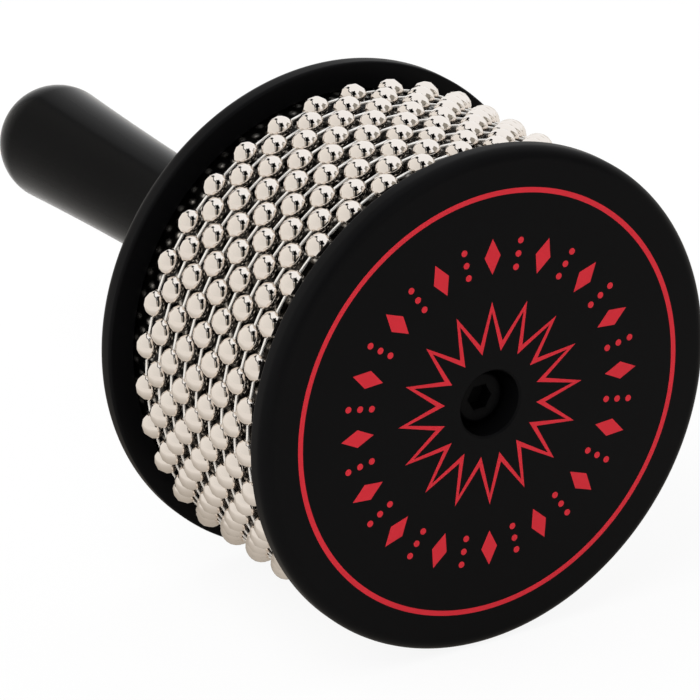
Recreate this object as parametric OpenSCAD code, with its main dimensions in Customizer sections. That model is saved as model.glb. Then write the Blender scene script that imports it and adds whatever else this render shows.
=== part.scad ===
// Cabasa: a drum wrapped in loops of steel bead chain, clamped between two
// discs and carried on a handle. It lies on the rims of its two discs.
// Every piece is drawn about its own axis, from the front face at zero towards
// the tip of the handle, and is then laid on its side.

/* [Discs] */
// Diameter of the front and back discs
disc_d = 130; // [110:1:150]
// Thickness of each disc at its rim
disc_t = 6.2; // [5.5:0.1:9]
// Rounding of the outer shoulder of each disc
shoulder_r = 3.2; // [1.5:0.1:4]
// Rounding of the edge of each disc that faces the chains
edge_r = 0.8; // [0.4:0.1:1.2]
// How far the rims stand proud of the beads
rim_rise = 1.1; // [0.5:0.1:3]
// Diameter of the pocket in the front face that takes the bolt head
pocket_d = 17; // [16.5:0.1:19]
// Bevel at the mouth of the pocket
pocket_bevel = 0.5; // [0.3:0.1:0.8]
// How far the bolt head lies below the front face
head_sink = 4.8; // [3:0.1:7]
// Plastic left under the washer and under the handle's socket
hub_floor = 4; // [3:0.1:5]
// Wall of both hubs
hub_wall = 4; // [3:0.1:5]
// Diameter of the pegs that key each disc to the core
peg_d = 6; // [4:0.1:8]
// Length of the pegs
peg_len = 7; // [4:0.1:9]
// Number of pegs on each disc
peg_count = 3; // [2:1:5]
// Distance of the pegs from the axis
peg_ring_r = 36; // [30:1:42]

/* [Drum] */
// Length of the drum between the two discs
drum_len = 65.9; // [62:0.1:80]
// Sheet thickness of the steel sleeve
sleeve_t = 0.8; // [0.5:0.1:1.2]
// Depth of the groove in each disc that holds the end of the sleeve
groove_depth = 1.2; // [0.8:0.1:1.6]
// Width of the open seam along the rolled sleeve
seam_w = 0.6; // [0.4:0.1:1]
// Turn of the seam about the axis
seam_turn = 75; // [0:1:180]

/* [Bead chains] */
// Diameter of one hollow steel bead, which is pressed slightly flat
bead_d = 6.95; // [6.4:0.05:7.1]
// Thickness of a bead, outwards from the drum
bead_thick = 5.6; // [5.2:0.05:6]
// Rounding of a bead's edge, as a share of its radius
bead_edge_share = 0.49; // [0.42:0.01:0.49]
// Wall of a bead
bead_wall = 0.4; // [0.3:0.05:0.5]
// Distance wanted between neighbouring beads of a loop
bead_spacing = 11; // [10:0.1:14]
// Distance between neighbouring loops along the drum
loop_spacing = 5.9; // [5.5:0.05:6.2]
// Gap between the front disc and the first loop
front_gap = 4; // [3:0.1:5]
// Turn of the loops about the axis
chain_turn = -3.2; // [-5:0.1:5]
// Diameter of the link pins
pin_d = 0.8; // [0.7:0.05:1]
// Diameter of the heads of the link pins
pin_head_d = 2; // [1.8:0.05:2.2]
// Distance of a pin head from the middle of its bead
head_offset = 1.4; // [1.2:0.05:1.5]

/* [Handle] */
// Length of the handle from the back disc to its tip
handle_len = 149.2; // [125:1:170]
// Diameter of the round butt
butt_d = 32.2; // [29:0.1:35]
// Diameter of the waist
waist_d = 26.6; // [25:0.1:28]
// Distance of the waist from the back disc
waist_at = 26; // [20:1:34]
// Diameter of the collar that seats on the back disc
collar_d = 33; // [31:0.1:36]
// Thickness of the collar
collar_t = 3; // [2:0.1:4]
// Radius of the hollow between collar and grip
collar_hollow_r = 7; // [5:0.1:9]
// Diameter of the keyed spigot that enters the back disc
spigot_d = 23.6; // [21:0.1:24]
// Width across the spigot's two flats
spigot_flat_w = 20; // [18:0.1:21]
// Length of the spigot
spigot_len = 13.8; // [10:0.1:16]

/* [Clamp bolt] */
// Diameter of the bolt's shank
bolt_d = 8; // [7:0.1:8.5]
// Length of the shank under the head
bolt_len = 80; // [78:1:100]
// Diameter of the bolt's head
bolt_head_d = 13; // [12:0.1:14]
// Height of the bolt's head
bolt_head_h = 8; // [7:0.1:9]
// Width across the flats of the bolt's socket
socket_w = 6; // [5:0.1:7]
// Depth of the bolt's socket
socket_depth = 4; // [3:0.1:5]
// Bevel on the head's rim and on the end of the shank
bolt_bevel = 0.8; // [0.4:0.1:1]
// Diameter of the washer
washer_d = 16; // [15:0.1:16.2]
// Thickness of the washer
washer_t = 1.6; // [1.2:0.1:2.5]
// Diameter of the threaded insert
insert_d = 14; // [12:0.1:15]
// Length of the threaded insert
insert_len = 22; // [16:0.1:24]
// Diameter of the flange at the insert's mouth
insert_flange_d = 17; // [16:0.1:18]
// Thickness of the insert's flange
insert_flange_t = 1.5; // [1:0.1:2]

/* [Clearances] */
// Gap between beads and sleeve, and between loose neighbours
loose_gap = 0.3; // [0.2:0.05:0.4]
// Gap on each side of pieces that plug into each other
fit_gap = 0.15; // [0.1:0.05:0.2]
// Gap round the bolt where it passes through
bolt_gap = 0.4; // [0.3:0.05:0.5]
// Gap between the bolt and the insert's thread
thread_gap = 0.05; // [0.03:0.01:0.08]

/* [Hidden] */
LOOPS = 9;
$fn = 96;

black = [0.07, 0.07, 0.075];
dark_metal = [0.16, 0.16, 0.17];
steel = [0.72, 0.72, 0.72];
nickel = [0.86, 0.83, 0.79];
brass = [0.75, 0.6, 0.3];
beech = [0.78, 0.62, 0.43];

// One overrun serves every cut
cut = 1;
fine = 48;
bead_fn = 48;
arc_steps = 20;

// Places along the axis, from the front face
disc_r = disc_d / 2;
back_inner_z = disc_t + drum_len;
back_outer_z = back_inner_z + disc_t;
total_len = back_outer_z + handle_len;
head_base_z = head_sink + bolt_head_h;
pocket_floor_z = head_base_z + washer_t;
front_hub_z = pocket_floor_z + hub_floor;
socket_floor_z = back_outer_z - spigot_len - fit_gap;
back_hub_z = socket_floor_z - hub_floor;
insert_z = back_outer_z - spigot_len;
bolt_end_z = head_base_z + bolt_len;

// Radii
pocket_r = pocket_d / 2;
front_hub_r = pocket_r + hub_wall;
socket_r = spigot_d / 2 + fit_gap;
back_hub_r = socket_r + hub_wall;
bolt_hole_r = bolt_d / 2 + bolt_gap;
bead_r = bead_d / 2;
bead_half = bead_thick / 2;
loop_r = disc_r - rim_rise - bead_half;
sleeve_r = loop_r - bead_half - loose_gap;
core_r = sleeve_r - sleeve_t - fit_gap;
peg_r = peg_d / 2;

// Bead chains
beads_in_loop = round(2 * PI * loop_r / bead_spacing);
bead_step = 360 / beads_in_loop;
link_len = 2 * loop_r * sin(bead_step / 2);
pin_hole_r = pin_d / 2 + loose_gap;

// Bead outline: a round edge runs into a flat arc on each side
bead_edge_r = bead_r * bead_edge_share;
bead_ring_r = bead_r - bead_edge_r;
bead_flat_r = (bead_ring_r * bead_ring_r + bead_half * bead_half - bead_edge_r * bead_edge_r)
              / (2 * (bead_half - bead_edge_r));
bead_flat_drop = bead_flat_r - bead_half;

// Handle outline: one long hollow arc runs from the waist into the round butt
butt_r = butt_d / 2;
waist_r = waist_d / 2;
collar_r = collar_d / 2;
dome_z = handle_len - butt_r;
waist_run = dome_z - waist_at;
grip_arc_r = (waist_run * waist_run + waist_r * waist_r - butt_r * butt_r)
             / (2 * (butt_r - waist_r));
tangent_share = butt_r / (butt_r + grip_arc_r);
tangent_z = dome_z - waist_run * tangent_share;
hollow_z = collar_t + collar_hollow_r;
grip_run = tangent_z - hollow_z;
function grip_r(z) = waist_r + grip_arc_r
                     - sqrt(grip_arc_r * grip_arc_r - (z - waist_at) * (z - waist_at));

// Lays a piece that stands on the front face on its side
module on_side() {
    translate([0, -total_len / 2, disc_r]) rotate([-90, 0, 0]) children();
}

// Ring of copies about the axis
module around(count, turn = 0) {
    for (i = [0 : count - 1]) rotate([0, 0, turn + i * 360 / count]) children();
}

// What rounding a corner of a half section takes away. The corner is at zero
// and the material lies towards -X and +Y
module corner_waste(r) {
    difference() {
        translate([-r, -cut]) square([r + cut, r + cut]);
        translate([-r, r]) circle(r, $fn = fine);
    }
}

// Half section of a disc: outer face at zero, chain side at disc_t
module disc_section(hub_r, hub_end) {
    difference() {
        square([disc_r, disc_t]);
        translate([disc_r, 0]) corner_waste(shoulder_r);
        translate([disc_r, disc_t]) mirror([0, 1]) corner_waste(edge_r);
        translate([sleeve_r - sleeve_t - fit_gap, disc_t - groove_depth])
            square([sleeve_t + 2 * fit_gap, groove_depth + cut]);
    }
    square([hub_r, hub_end]);
}

// Disc with its hub, its pegs and the groove for the sleeve
module disc_body(hub_r, hub_end) {
    rotate_extrude() disc_section(hub_r, hub_end);
    around(peg_count) translate([peg_ring_r, 0, disc_t / 2])
        cylinder(r = peg_r, h = disc_t / 2 + peg_len, $fn = fine);
}

module front_disc() {
    color(black) on_side() difference() {
        disc_body(front_hub_r, front_hub_z);
        translate([0, 0, -cut]) cylinder(r = pocket_r, h = pocket_floor_z + cut);
        translate([0, 0, -cut])
            cylinder(r1 = pocket_r + pocket_bevel + cut, r2 = pocket_r,
                     h = pocket_bevel + cut);
        cylinder(r = bolt_hole_r, h = front_hub_z + cut, $fn = fine);
    }
}

// Round bar with two flats, which keeps the handle from turning in the disc
module keyed_bar(r, flat_w, h) {
    intersection() {
        cylinder(r = r, h = h);
        translate([-r - cut, -flat_w / 2, 0]) cube([2 * (r + cut), flat_w, h]);
    }
}

module back_disc() {
    hub_end = back_outer_z - back_hub_z;
    color(black) on_side() translate([0, 0, back_outer_z]) mirror([0, 0, 1])
        difference() {
            disc_body(back_hub_r, hub_end);
            translate([0, 0, -cut])
                keyed_bar(socket_r, spigot_flat_w + 2 * fit_gap,
                          spigot_len + fit_gap + cut);
            cylinder(r = bolt_hole_r, h = hub_end + cut, $fn = fine);
        }
}

// Turned block that carries the sleeve, bored for the bolt, the hubs and the pegs
module drum_core() {
    peg_hole_r = peg_r + fit_gap;
    peg_hole_len = peg_len + loose_gap;
    color(beech) on_side() difference() {
        translate([0, 0, disc_t]) cylinder(r = core_r, h = drum_len);
        cylinder(r = bolt_hole_r, h = back_outer_z, $fn = fine);
        cylinder(r = front_hub_r + fit_gap, h = front_hub_z + loose_gap);
        translate([0, 0, back_hub_z - loose_gap])
            cylinder(r = back_hub_r + fit_gap, h = back_outer_z - back_hub_z);
        around(peg_count) translate([peg_ring_r, 0, 0]) {
            cylinder(r = peg_hole_r, h = disc_t + peg_hole_len, $fn = fine);
            translate([0, 0, back_inner_z - peg_hole_len])
                cylinder(r = peg_hole_r, h = peg_hole_len + cut, $fn = fine);
        }
    }
}

// Rolled sheet with an open seam, held at both ends in the grooves of the discs
module texture_sleeve() {
    sleeve_z = disc_t - groove_depth + fit_gap;
    sleeve_len = drum_len + 2 * (groove_depth - fit_gap);
    color(steel) on_side() translate([0, 0, sleeve_z]) difference() {
        cylinder(r = sleeve_r, h = sleeve_len);
        translate([0, 0, -cut]) cylinder(r = sleeve_r - sleeve_t, h = sleeve_len + 2 * cut);
        rotate([0, 0, seam_turn]) translate([0, -seam_w / 2, -cut])
            cube([sleeve_r + cut, seam_w, sleeve_len + 2 * cut]);
    }
}

// Half section of the grip: collar with its hollow, long arc and round butt
module grip_section() {
    intersection() {
        translate([0, dome_z]) circle(butt_r, $fn = fine * 2);
        translate([0, tangent_z]) square([butt_r + cut, handle_len]);
    }
    polygon(concat(
        [[0, 0], [grip_r(hollow_z), 0]],
        [for (i = [0 : arc_steps]) let (z = hollow_z + grip_run * i / arc_steps)
            [grip_r(z), z]],
        [[0, tangent_z]]));
    difference() {
        square([collar_r, hollow_z]);
        translate([grip_r(hollow_z) + collar_hollow_r, hollow_z])
            circle(collar_hollow_r, $fn = fine * 2);
    }
}

module handle() {
    color(black) on_side() difference() {
        union() {
            translate([0, 0, back_outer_z]) rotate_extrude() grip_section();
            translate([0, 0, insert_z])
                keyed_bar(spigot_d / 2, spigot_flat_w, spigot_len + collar_t);
        }
        translate([0, 0, insert_z - cut]) {
            cylinder(r = insert_d / 2 + thread_gap, h = insert_len + cut, $fn = fine);
            cylinder(r = insert_flange_d / 2 + thread_gap, h = insert_flange_t + cut,
                     $fn = fine);
        }
        translate([0, 0, insert_z])
            cylinder(r = bolt_hole_r, h = bolt_end_z - insert_z + loose_gap, $fn = fine);
    }
}

// Threaded sleeve sunk into the spigot, with a flange at its mouth
module handle_insert() {
    color(brass) on_side() translate([0, 0, insert_z]) difference() {
        union() {
            cylinder(r = insert_d / 2, h = insert_len, $fn = fine);
            cylinder(r = insert_flange_d / 2, h = insert_flange_t, $fn = fine);
        }
        translate([0, 0, -cut])
            cylinder(r = bolt_d / 2 + thread_gap, h = insert_len + 2 * cut, $fn = fine);
    }
}

// Cap bolt that clamps both discs, the core and the handle together
module tie_bolt() {
    head_r = bolt_head_d / 2;
    shank_r = bolt_d / 2;
    color(dark_metal) on_side() translate([0, 0, head_sink]) difference() {
        rotate_extrude($fn = fine) polygon([
            [0, 0], [head_r - bolt_bevel, 0], [head_r, bolt_bevel],
            [head_r, bolt_head_h], [shank_r, bolt_head_h],
            [shank_r, bolt_head_h + bolt_len - bolt_bevel],
            [shank_r - bolt_bevel, bolt_head_h + bolt_len],
            [0, bolt_head_h + bolt_len]]);
        translate([0, 0, -cut])
            cylinder(r = socket_w / 2 / cos(30), h = socket_depth + cut, $fn = 6);
    }
}

module bolt_washer() {
    color(dark_metal) on_side() translate([0, 0, head_base_z]) difference() {
        cylinder(r = washer_d / 2, h = washer_t, $fn = fine);
        translate([0, 0, -cut])
            cylinder(r = bolt_hole_r, h = washer_t + 2 * cut, $fn = fine);
    }
}

// Half section of a bead, or of its hollow when it is drawn in by the wall
module bead_section(inset) {
    flat_r = bead_flat_r - inset;
    meet_r = bead_ring_r * flat_r / (bead_flat_r - bead_edge_r);
    intersection() {
        translate([0, -bead_flat_drop]) circle(flat_r, $fn = bead_fn);
        translate([0, bead_flat_drop]) circle(flat_r, $fn = bead_fn);
        translate([0, -bead_r]) square([meet_r, bead_d]);
    }
    translate([bead_ring_r, 0]) circle(bead_edge_r - inset, $fn = bead_fn);
}

// Hollow bead with a hole towards each neighbour
module bead() {
    difference() {
        rotate([0, 90, 0]) rotate_extrude($fn = bead_fn) bead_section(0);
        rotate([0, 90, 0]) rotate_extrude($fn = bead_fn) bead_section(bead_wall);
        for (side = [-1, 1]) rotate([0, 90, side * (90 + bead_step / 2)])
            cylinder(r = pin_hole_r, h = bead_r + cut, $fn = bead_fn);
    }
}

// Pin whose two heads are caught inside neighbouring beads
module link_pin() {
    half_run = link_len / 2 - head_offset;
    rotate([90, 0, 0]) {
        cylinder(r = pin_d / 2, h = 2 * half_run, center = true, $fn = bead_fn);
        for (side = [-1, 1]) translate([0, 0, side * half_run])
            sphere(pin_head_d / 2, $fn = bead_fn);
    }
}

// Every second loop is turned by half a step, so that its beads nest
function loop_turn(n) = chain_turn + (n % 2) * bead_step / 2;
function loop_z(n) = disc_t + front_gap + bead_r + (n - 1) * loop_spacing;

module bead_loop(n) {
    color(nickel) on_side() translate([0, 0, loop_z(n)])
        around(beads_in_loop, loop_turn(n)) translate([loop_r, 0, 0]) bead();
}

module link_pins(n) {
    color(steel) on_side() translate([0, 0, loop_z(n)])
        around(beads_in_loop, loop_turn(n) + bead_step / 2)
            translate([loop_r * cos(bead_step / 2), 0, 0]) link_pin();
}

front_disc();
back_disc();
drum_core();
texture_sleeve();
handle();
tie_bolt();
bolt_washer();
handle_insert();
for (n = [1 : LOOPS]) {
    bead_loop(n);
    link_pins(n);
}
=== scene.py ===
"""Looks of a cabasa, a hand percussion drum wrapped in bead chain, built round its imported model.

The pieces are worked out in the instrument's own frame: a depth along the drum's axis, counted
from the front face towards the tip of the handle, a radius from that axis, and a turn about it
from +X towards +Z. AxisFrame lays such points in the model's frame. All lengths are in metres.
"""
import logging
import math
from dataclasses import dataclass, field
from enum import Enum

import bmesh
import bpy
import numpy as np
from mathutils import Matrix, Vector


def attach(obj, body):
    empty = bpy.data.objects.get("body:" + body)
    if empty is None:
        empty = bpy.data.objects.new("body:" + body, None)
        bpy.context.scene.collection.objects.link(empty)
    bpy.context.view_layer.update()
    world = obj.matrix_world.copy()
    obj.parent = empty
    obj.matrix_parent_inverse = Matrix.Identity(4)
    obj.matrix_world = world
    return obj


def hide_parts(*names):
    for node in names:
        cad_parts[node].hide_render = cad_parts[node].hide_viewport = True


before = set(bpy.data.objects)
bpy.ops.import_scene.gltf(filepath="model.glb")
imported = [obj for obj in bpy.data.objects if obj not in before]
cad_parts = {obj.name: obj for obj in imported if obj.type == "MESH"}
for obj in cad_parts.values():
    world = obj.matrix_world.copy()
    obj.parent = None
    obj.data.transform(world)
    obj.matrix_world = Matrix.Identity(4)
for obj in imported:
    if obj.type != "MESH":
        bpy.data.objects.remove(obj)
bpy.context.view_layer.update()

LOG = logging.getLogger("cabasa")
MM = 0.001
# Attribute of the sleeve that says how far its points are raised
RAISED = "raised"
# A radius beyond every piece, where nothing limits a turned one
NO_LIMIT = 1.0
# The least length that anything is divided by
LEAST = 1e-9


class Body(Enum):
    """The two bodies of the model."""

    DRUM = "drum"
    CHAINS = "bead_chains"


class Slot(Enum):
    """The record's material slots of the pieces that are built here."""

    DISC = "black_disc"
    GRIP = "black_grip"
    SLEEVE = "steel_sleeve"
    BEADS = "nickel_beads"
    PINS = "steel_pins"
    BOLT = "black_bolt"


# Places and sizes shared by several pieces


@dataclass(frozen=True)
class AxisFrame:
    """Where the drum's axis lies: along +Y, at a height above the floor."""

    front_y: float = -113.75 * MM
    height: float = 65.0 * MM

    def place(self, depth: np.ndarray, radius: np.ndarray, turn: np.ndarray) -> np.ndarray:
        """Lays points given about the axis in the model's frame.

        x = radius cos(turn), y = front + depth, z = height + radius sin(turn).

        Args:
            depth: distance behind the front face.
            radius: distance from the axis.
            turn: angle about the axis, in radians.

        Returns:
            The points, with their coordinates in the last axis.
        """
        parts = np.broadcast_arrays(radius * np.cos(turn), self.front_y + depth,
                                    self.height + radius * np.sin(turn))
        return np.stack(parts, axis=-1)


@dataclass(frozen=True)
class DrumSizes:
    """Lengths along the axis and radii that the discs, the sleeve and the chains share."""

    disc_r: float = 65.0 * MM
    disc_t: float = 6.2 * MM
    drum_len: float = 65.9 * MM
    sleeve_r: float = 58.0 * MM
    sleeve_t: float = 0.8 * MM
    groove_depth: float = 1.2 * MM
    fit_gap: float = 0.15 * MM
    bolt_hole_r: float = 4.4 * MM

    @property
    def back_face(self) -> float:
        """Depth of the back disc's outer face."""
        return 2 * self.disc_t + self.drum_len


AXIS = AxisFrame()
DRUM = DrumSizes()


# Mesh making


def arc(centre: tuple[float, float], radius: float, start: float, end: float, steps: int) -> np.ndarray:
    """Points on a circle's arc: centre + radius (cos a, sin a), with a from start to end in even steps.

    Args:
        centre: depth and radius of the circle's middle.
        radius: the circle's radius.
        start: first angle in degrees.
        end: last angle in degrees.
        steps: number of steps between them.

    Returns:
        An array of steps + 1 points.
    """
    a = np.radians(np.linspace(start, end, steps + 1))
    return np.stack([centre[0] + radius * np.cos(a), centre[1] + radius * np.sin(a)], axis=1)


def grid_faces(rows: int, columns: int, wrap_rows: bool, wrap_columns: bool) -> np.ndarray:
    """Quads between neighbouring points of a grid that is stored row by row.

    Args:
        rows: number of rows.
        columns: number of points in a row.
        wrap_rows: whether the last row joins the first.
        wrap_columns: whether the last point of a row joins its first.

    Returns:
        An array of four point numbers a face.
    """
    i = np.arange(rows if wrap_rows else rows - 1)[:, None]
    j = np.arange(columns if wrap_columns else columns - 1)[None, :]
    i_next, j_next = (i + 1) % rows, (j + 1) % columns
    corners = [i * columns + j, i * columns + j_next, i_next * columns + j_next, i_next * columns + j]
    return np.stack([np.broadcast_to(c, np.broadcast_shapes(i.shape, j.shape)) for c in corners],
                    axis=-1).reshape(-1, 4)


def new_object(name: str, data: bpy.types.ID) -> bpy.types.Object:
    """Adds an object to the scene.

    Args:
        name: its name.
        data: its mesh, camera or light.

    Returns:
        The object.
    """
    made = bpy.data.objects.new(name, data)
    bpy.context.scene.collection.objects.link(made)
    return made


@dataclass
class Shell:
    """Points and faces of one piece, gathered from one or more closed surfaces."""

    points: list[np.ndarray] = field(default_factory=list)
    faces: list[np.ndarray] = field(default_factory=list)
    caps: list[np.ndarray] = field(default_factory=list)
    count: int = 0

    def add(self, points: np.ndarray, faces: np.ndarray, caps: np.ndarray | None = None) -> None:
        """Adds a surface.

        Args:
            points: its points, in the model's frame.
            faces: its quads, as point numbers of its own.
            caps: further faces of more corners, one a row.
        """
        flat = points.reshape(-1, 3)
        self.points.append(flat)
        self.faces.append(faces + self.count)
        if caps is not None:
            self.caps.append(caps + self.count)
        self.count += len(flat)

    def add_copies(self, points: np.ndarray, faces: np.ndarray, caps: np.ndarray | None = None) -> None:
        """Adds several copies of one surface.

        Args:
            points: the points of every copy, copy by copy.
            faces: the quads of one copy, as point numbers of its own.
            caps: its further faces of more corners, one a row.
        """
        first = (np.arange(len(points)) * (points[0].size // 3))[:, None, None]
        more = None if caps is None else (caps[None] + first).reshape(-1, caps.shape[1])
        self.add(points, (faces[None] + first).reshape(-1, 4), more)

    def build(self, name: str, finish: bpy.types.Material, sharp: float = 32.0,
              doubled: float = 1e-7, collapsed: float = 1e-8) -> bpy.types.Object:
        """Makes the piece: merges doubled points, turns the faces outwards and shades it smooth.

        Args:
            name: name of the piece.
            finish: its material.
            sharp: edges that bend by more than this many degrees stay sharp.
            doubled: points this close are merged.
            collapsed: edges this short are dissolved.

        Returns:
            The new object, at the origin.
        """
        faces = [face for part in self.faces + self.caps for face in part.tolist()]
        mesh = bpy.data.meshes.new(name)
        mesh.from_pydata(np.concatenate(self.points).tolist(), [], faces)
        work = bmesh.new()
        work.from_mesh(mesh)
        bmesh.ops.remove_doubles(work, verts=work.verts, dist=doubled)
        bmesh.ops.dissolve_degenerate(work, edges=work.edges, dist=collapsed)
        bmesh.ops.recalc_face_normals(work, faces=work.faces)
        work.to_mesh(mesh)
        work.free()
        mesh.shade_smooth()
        mesh.set_sharp_from_angle(angle=math.radians(sharp))
        mesh.materials.append(finish)
        return new_object(name, mesh)


def turned(profile: np.ndarray, segments: int, closed: bool,
           limit: np.ndarray | None = None) -> tuple[np.ndarray, np.ndarray]:
    """Turns a profile about the drum's axis.

    The point of profile step i and turn step j lies at the profile's depth and at the lesser of
    its radius and the limit there.

    Args:
        profile: depth and radius of each step.
        segments: number of steps round the axis.
        closed: whether the profile's last step joins its first.
        limit: largest radius at each profile step and turn, or None.

    Returns:
        The points and the quads.
    """
    turn = np.linspace(0.0, 2 * np.pi, segments, endpoint=False)
    radius = np.repeat(profile[:, 1:2], segments, axis=1)
    if limit is not None:
        radius = np.minimum(radius, limit)
    points = AXIS.place(profile[:, 0:1], radius, turn[None, :])
    return points, grid_faces(len(profile), segments, closed, True)


def sides_limit(cut: np.ndarray, half_width: float, sides: int, segments: int) -> np.ndarray:
    """Radius at which flat sides cut a round piece, where the step is cut: half width / cos(turn
    within the side). With two sides these are the flats above and below the axis.

    Args:
        cut: whether each profile step has the flat sides.
        half_width: distance of the sides from the axis.
        sides: number of sides.
        segments: number of steps round the axis.

    Returns:
        The limit at each profile step and turn.
    """
    turn = np.linspace(0.0, 2 * np.pi, segments, endpoint=False)
    lean = np.cos(np.mod(turn, 2 * np.pi / sides) - np.pi / sides)
    limit = half_width / np.maximum(lean, half_width / NO_LIMIT)
    return np.where(cut[:, None], limit[None, :], NO_LIMIT)


def peg(centre_r: float, turn: float, radius: float, start: float, end: float,
        sides: int = 32) -> tuple[np.ndarray, np.ndarray]:
    """A round peg beside the axis: rings about its own middle line, drawn in to a point at both ends.

    Args:
        centre_r: distance of the peg from the drum's axis.
        turn: its place round the axis, in radians.
        radius: its own radius.
        start: depth of one end.
        end: depth of the other end.
        sides: number of its sides.

    Returns:
        The points and the quads.
    """
    depth = np.array([start, start, end, end])[:, None]
    out = np.array([0.0, radius, radius, 0.0])[:, None]
    a = np.linspace(0.0, 2 * np.pi, sides, endpoint=False)
    x = centre_r * math.cos(turn) + out * np.cos(a)
    z = AXIS.height + centre_r * math.sin(turn) + out * np.sin(a)
    y = np.broadcast_to(AXIS.front_y + depth, x.shape)
    return np.stack([x, y, z], axis=-1), grid_faces(len(depth), sides, False, True)


# Nodes of the materials

Feeds = dict[str | int, object]


def feed(tree: bpy.types.NodeTree, node: bpy.types.Node, feeds: Feeds) -> None:
    """Links or sets some inputs of a node.

    Args:
        tree: the tree that holds it.
        node: the node.
        feeds: by input, the socket that is linked to it or its value; a colour has three parts.
    """
    for name, value in feeds.items():
        socket = node.inputs[name]
        if isinstance(value, bpy.types.NodeSocket):
            tree.links.new(value, socket)
        elif socket.type == "RGBA":
            socket.default_value = (*value, 1.0)
        else:
            socket.default_value = value


def new_node(tree: bpy.types.NodeTree, kind: str, feeds: Feeds | None = None) -> bpy.types.Node:
    """Adds a node.

    Args:
        tree: the tree that it goes to.
        kind: its type.
        feeds: its inputs, as feed takes them.

    Returns:
        The node.
    """
    node = tree.nodes.new(kind)
    feed(tree, node, feeds or {})
    return node


def mixed(tree: bpy.types.NodeTree, share: bpy.types.NodeSocket, first: object,
          second: object) -> bpy.types.NodeSocket:
    """Adds a mix of two colours.

    Args:
        tree: the tree that it goes to.
        share: how much there is of the second, from 0 to 1.
        first: the first colour, or its socket.
        second: the second colour, or its socket.

    Returns:
        The mixed colour.
    """
    node = tree.nodes.new("ShaderNodeMix")
    node.data_type = "RGBA"
    feed(tree, node, {"Factor": share, "A": first, "B": second})
    return node.outputs["Result"]


def worked_out(tree: bpy.types.NodeTree, operation: str, first: object,
               second: object) -> bpy.types.NodeSocket:
    """Adds a node that works a number out from two others.

    Args:
        tree: the tree that it goes to.
        operation: what is done with them.
        first: the first number, or its socket.
        second: the second number, or its socket.

    Returns:
        The result.
    """
    node = tree.nodes.new("ShaderNodeMath")
    node.operation = operation
    feed(tree, node, {0: first, 1: second})
    return node.outputs["Value"]


def attribute(tree: bpy.types.NodeTree, name: str) -> bpy.types.NodeSocket:
    """Adds a node that reads a number from an attribute of the piece.

    Args:
        tree: the tree that it goes to.
        name: the attribute.

    Returns:
        The number.
    """
    node = tree.nodes.new("ShaderNodeAttribute")
    node.attribute_name = name
    return node.outputs["Fac"]


def new_material(name: str) -> tuple[bpy.types.Material, bpy.types.NodeTree]:
    """Makes a material.

    Args:
        name: its name.

    Returns:
        The material and its node tree.
    """
    made = bpy.data.materials.new(name)
    made.use_nodes = True
    return made, made.node_tree


# Finishes


@dataclass(frozen=True)
class CloudAndGrain:
    """The node group that every finish shares, on Object coordinates.

    A broad noise, the cloud, leads the colour from dark to light, and the roughness from smooth to
    rough while it goes from its low to its high. A fine noise, the grain, is the surface's height.
    """

    name: str = "cloud_and_grain"
    cloud_detail: float = 4.0
    cloud_low: float = 0.3
    cloud_high: float = 0.7
    grain_detail: float = 3.0
    sockets: tuple[tuple[str, str, tuple[str, ...]], ...] = (
        ("INPUT", "NodeSocketColor", ("Light", "Dark")),
        ("INPUT", "NodeSocketFloat", ("Smooth", "Rough", "Cloud Scale", "Grain Scale")),
        ("INPUT", "NodeSocketVector", ("Stretch",)),
        ("OUTPUT", "NodeSocketColor", ("Color",)),
        ("OUTPUT", "NodeSocketFloat", ("Roughness", "Height")),
    )

    def build(self) -> bpy.types.NodeTree:
        """Makes the group.

        Returns:
            The new group.
        """
        tree = bpy.data.node_groups.new(self.name, "ShaderNodeTree")
        for way, kind, labels in self.sockets:
            for label in labels:
                tree.interface.new_socket(label, in_out=way, socket_type=kind)
        given = new_node(tree, "NodeGroupInput").outputs
        place = new_node(tree, "ShaderNodeTexCoord").outputs["Object"]
        scaled = new_node(tree, "ShaderNodeMapping", {"Vector": place, "Scale": given["Stretch"]}).outputs[0]
        cloud = new_node(tree, "ShaderNodeTexNoise", {
            "Vector": scaled, "Scale": given["Cloud Scale"], "Detail": self.cloud_detail}).outputs["Fac"]
        grain = new_node(tree, "ShaderNodeTexNoise", {
            "Vector": scaled, "Scale": given["Grain Scale"], "Detail": self.grain_detail}).outputs["Fac"]
        rough = new_node(tree, "ShaderNodeMapRange", {
            "Value": cloud, "From Min": self.cloud_low, "From Max": self.cloud_high,
            "To Min": given["Smooth"], "To Max": given["Rough"]})
        new_node(tree, "NodeGroupOutput", {
            "Color": mixed(tree, cloud, given["Dark"], given["Light"]),
            "Roughness": rough.outputs["Result"], "Height": grain})
        return tree

    def group(self) -> bpy.types.NodeTree:
        """The group, made at its first use."""
        return bpy.data.node_groups.get(self.name) or self.build()


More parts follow.
